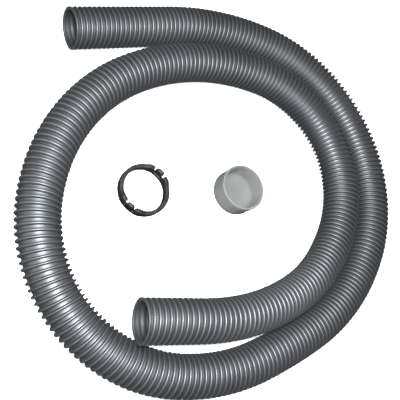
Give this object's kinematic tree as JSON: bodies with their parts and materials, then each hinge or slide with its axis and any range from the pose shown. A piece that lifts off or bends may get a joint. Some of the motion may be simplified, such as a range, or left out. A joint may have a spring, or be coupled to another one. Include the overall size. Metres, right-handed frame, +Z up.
{
  "type": "pool cleaner suction hose kit",
  "caption": "Ribbed flexible suction hose for a pool cleaner, lying in a loose coil, with a slotted lock collar and a soft cup.",
  "frame": {"origin": "on the table under the middle of the coil's outline", "axes": "+Z up from the table; +X along the inner end of the hose, away from its open mouth; +Y across it, towards the side where the outer end lies"},
  "size_m": [0.4678, 0.4472, 0.076],
  "materials": {
    "hose_grey": "satin, silver-grey soft plastic",
    "collar_black": "moulded, lightly grained",
    "cup_white": "milky, translucent, soft"
  },
  "bodies": {
    "hose": {"hose_coil": "hose_grey", "hose_outer_end": "hose_grey"},
    "hose_end": {"hose_inner_end": "hose_grey"},
    "collar": {"collar_ring": "collar_black"},
    "latch_right": {"collar_latch_right": "collar_black"},
    "latch_left": {"collar_latch_left": "collar_black"},
    "cup": {"cup": "cup_white"}
  },
  "joints": [
    {"name": "inner_end_lift", "type": "hinge", "parent": "hose", "child": "hose_end", "pos_m": [-0.07583, -0.149, 0.076], "axis": [0, 1, 0], "range_deg": [0, 25], "stiffness_Nm_per_rad": 0.5},
    {"name": "collar_lift", "type": "slide", "parent": "hose", "child": "collar", "axis": [0, 0, 1], "range_m": [0, 0.09]},
    {"name": "cup_lift", "type": "slide", "parent": "hose", "child": "cup", "axis": [0, 0, 1], "range_m": [0, 0.09]},
    {"name": "collar_latch_right_flex", "type": "hinge", "parent": "collar", "child": "latch_right", "pos_m": [-0.07845, 0.01491, 0.00485], "axis": [-0.766, 0.6428, 0], "range_deg": [0, 8], "stiffness_Nm_per_rad": 0.6},
    {"name": "collar_latch_left_flex", "type": "hinge", "parent": "collar", "child": "latch_left", "pos_m": [-0.11355, -0.02691, 0.00485], "axis": [0.766, -0.6428, 0], "range_deg": [0, 8], "stiffness_Nm_per_rad": 0.6}
  ]
}
